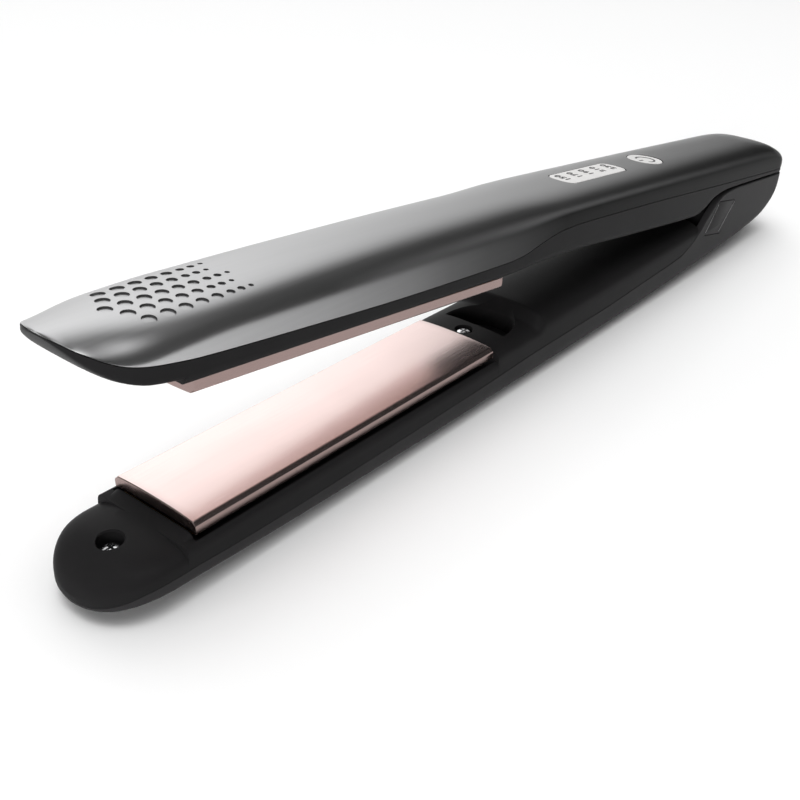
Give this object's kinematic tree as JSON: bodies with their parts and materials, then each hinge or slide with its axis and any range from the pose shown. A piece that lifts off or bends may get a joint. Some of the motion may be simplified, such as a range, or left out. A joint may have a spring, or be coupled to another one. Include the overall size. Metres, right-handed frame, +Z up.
{
  "type": "flat iron",
  "caption": "Hair flat iron with slim hinged arms, sprung rose plates, a perforated metallic cover, a temperature display, a power button and a cord inlet.",
  "frame": {"origin": "middle of the underside of the bounding box of the iron, drawn half open and lying on its lower arm", "axes": "+X from the tip towards the hinge and the cord inlet, +Y across the arms, +Z up, square to the lower plate"},
  "size_m": [0.3064, 0.0288, 0.0614],
  "materials": {
    "graphite_cover": "brushed satin metallic, lighter at the tip, gunmetal at the tail",
    "dark_cover": "soft dark grey, very fine moulded grain",
    "black_shell": "satin black",
    "rose_plate": "glossy rose-tinted ceramic coating with rolled edges",
    "silver_trim": "satin silver-white",
    "steel": "bright plated",
    "heater_ceramic": "fired matt white",
    "carrier_resin": "heat-proof amber resin",
    "board": "solder-masked board",
    "silicone": "soft matt",
    "nylon": "natural moulded"
  },
  "bodies": {
    "lower_arm": {"lower_cover": "dark_cover", "lower_inner_shell": "black_shell", "lower_plate_spring_front": "silicone", "lower_plate_spring_rear": "silicone", "lower_nose_screw": "steel", "lower_rear_screw": "steel", "hinge_pin": "steel", "hinge_cap_left": "dark_cover", "hinge_cap_right": "dark_cover", "hinge_washer_left": "nylon", "hinge_washer_right": "nylon", "opening_spring": "steel", "cord_inlet_clip": "nylon"},
    "lower_plate_set": {"lower_plate": "rose_plate", "lower_plate_carrier": "carrier_resin", "lower_heater": "heater_ceramic", "lower_thermal_fuse": "steel"},
    "upper_arm": {"upper_cover": "graphite_cover", "upper_inner_shell": "black_shell", "upper_plate_spring_front": "silicone", "upper_plate_spring_rear": "silicone", "upper_nose_screw": "steel", "upper_rear_screw": "steel", "display_window": "silver_trim", "button_switch": "black_shell", "circuit_board": "board", "ion_module": "black_shell", "vent_insert": "silver_trim"},
    "upper_plate_set": {"upper_plate": "rose_plate", "upper_plate_carrier": "carrier_resin", "upper_heater": "heater_ceramic", "upper_thermistor": "carrier_resin"},
    "power_button": {"power_button": "silver_trim"},
    "cord_swivel": {"cord_inlet_bush": "black_shell"}
  },
  "joints": [
    {"name": "arm_hinge", "type": "hinge", "parent": "lower_arm", "child": "upper_arm", "pos_m": [0.09814, 0, 0.01737], "axis": [0, 1, 0], "range_deg": [-6.75, 0], "stiffness_Nm_per_rad": 1.2, "springref_deg": 28.65, "deforming": ["opening_spring"]},
    {"name": "lower_plate_float", "type": "slide", "parent": "lower_arm", "child": "lower_plate_set", "axis": [0, 0, 1], "range_m": [-0.0006, 0], "stiffness_N_per_m": 4000, "springref_m": 0.0004, "deforming": ["lower_plate_spring_front", "lower_plate_spring_rear"]},
    {"name": "upper_plate_float", "type": "slide", "parent": "upper_arm", "child": "upper_plate_set", "axis": [0.1175, 0, 0.9931], "range_m": [0, 0.0006], "stiffness_N_per_m": 4000, "springref_m": -0.0004, "deforming": ["upper_plate_spring_front", "upper_plate_spring_rear"]},
    {"name": "power_button_press", "type": "slide", "parent": "upper_arm", "child": "power_button", "axis": [-0.1175, 0, -0.9931], "range_m": [0, 0.0006], "stiffness_N_per_m": 1000, "springref_m": -0.0005},
    {"name": "cord_swivel_turn", "type": "hinge", "parent": "lower_arm", "child": "cord_swivel", "pos_m": [0.14564, 0, 0.01377], "axis": [1, 0, 0], "continuous": true}
  ]
}
